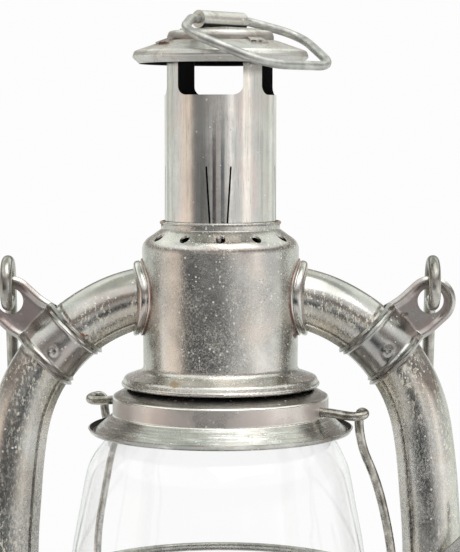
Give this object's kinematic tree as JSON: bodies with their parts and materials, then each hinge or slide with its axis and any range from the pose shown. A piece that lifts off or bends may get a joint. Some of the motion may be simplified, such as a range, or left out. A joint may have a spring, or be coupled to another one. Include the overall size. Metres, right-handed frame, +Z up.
{
  "type": "hurricane lantern",
  "caption": "Tubular hurricane lantern of tinned steel with a glass globe, wire guard, lift lever, pull ring, wick winder, filler cap and bail handle.",
  "frame": {"origin": "on the lantern's axis, on the plane of its foot rim", "axes": "+Z up along the lantern's axis, +X to the lever side, -Y to the front with the winder knob"},
  "size_m": [0.1775, 0.1382, 0.3232],
  "materials": {
    "tinned_sheet": "aged hot-dipped tin, mottled",
    "tinned_wire": "dull tinned wire",
    "chimney_sheet": "aged tin, sooted inside",
    "burner_brass": "dull brass",
    "winder_steel": "bare steel",
    "globe_glass": "clear blown glass",
    "wick_cotton": "woven cotton, charred at the top",
    "gasket_cork": "cork"
  },
  "bodies": {
    "root": {"tank_base": "tinned_sheet", "tank_shell": "tinned_sheet", "filler_neck": "tinned_sheet", "burner_collar": "tinned_sheet", "air_drum": "tinned_sheet", "burner_deck": "tinned_sheet", "globe_guide": "tinned_sheet", "right_tube": "tinned_sheet", "left_tube": "tinned_sheet", "right_upper_collar": "tinned_sheet", "left_upper_collar": "tinned_sheet", "right_lower_collar": "tinned_sheet", "left_lower_collar": "tinned_sheet", "air_chamber": "tinned_sheet", "right_bail_band": "tinned_sheet", "left_bail_band": "tinned_sheet", "lever_clip": "tinned_sheet", "lever_rivet": "tinned_sheet", "burner_base": "burner_brass", "wick_tube": "burner_brass", "burner_dome": "burner_brass", "winder_bush": "burner_brass"},
    "globe_carriage": {"globe_plate": "tinned_sheet", "globe": "globe_glass", "globe_seat_ring": "tinned_sheet", "globe_cap": "tinned_sheet", "guard_wire": "tinned_wire", "guard_hoop": "tinned_wire"},
    "chimney": {"chimney_tube": "chimney_sheet", "chimney_foot": "chimney_sheet", "hood": "chimney_sheet", "hood_cap": "chimney_sheet", "ring_barrel": "chimney_sheet"},
    "lift_ring": {"lift_ring": "tinned_wire"},
    "bail": {"bail": "tinned_wire"},
    "lift_lever": {"lift_lever": "tinned_sheet"},
    "winder": {"winder_spindle": "winder_steel", "spur_wheels": "winder_steel", "winder_knob": "winder_steel"},
    "wick": {"wick": "wick_cotton"},
    "filler_gasket": {"filler_gasket": "gasket_cork"},
    "filler_cap": {"filler_cap": "tinned_sheet"}
  },
  "joints": [
    {"name": "globe_lift", "type": "slide", "parent": "root", "child": "globe_carriage", "axis": [0, 0, 1], "range_m": [-0.0148, 0]},
    {"name": "chimney_pull", "type": "slide", "parent": "globe_carriage", "child": "chimney", "axis": [0, 0, 1], "range_m": [0, 0.022]},
    {"name": "ring_swing", "type": "hinge", "parent": "chimney", "child": "lift_ring", "pos_m": [0, 0, 0.3203], "axis": [-0.6561, -0.7547, 0], "range_deg": [0, 215]},
    {"name": "bail_swing", "type": "hinge", "parent": "root", "child": "bail", "pos_m": [0, 0, 0.233], "axis": [1, 0, 0], "range_deg": [0, 255]},
    {"name": "lever_turn", "type": "hinge", "parent": "root", "child": "lift_lever", "pos_m": [0.0713, 0, 0.1211], "axis": [0, -1, 0], "range_deg": [0, 45.66]},
    {"name": "winder_turn", "type": "hinge", "parent": "root", "child": "winder", "pos_m": [0.005, 0, 0.057], "axis": [0, 1, 0], "range_deg": [-62, 93]},
    {"name": "wick_slide", "type": "slide", "parent": "root", "child": "wick", "axis": [0, 0, 1], "range_m": [-0.0041, 0.00611]},
    {"name": "gasket_rise", "type": "slide", "parent": "root", "child": "filler_gasket", "axis": [0, 0, 1], "range_m": [0, 0.0061]},
    {"name": "cap_turn", "type": "hinge", "parent": "filler_gasket", "child": "filler_cap", "pos_m": [-0.036, -0.036, 0.05], "axis": [0, 0, 1], "range_deg": [0, 720]}
  ],
  "couplings": [
    {"joint": "lever_turn", "follows": "globe_lift", "rad_per_m": -53.786},
    {"joint": "wick_slide", "follows": "winder_turn", "m_per_rad": 0.0037},
    {"joint": "gasket_rise", "follows": "cap_turn", "m_per_rad": 0.00047746}
  ]
}
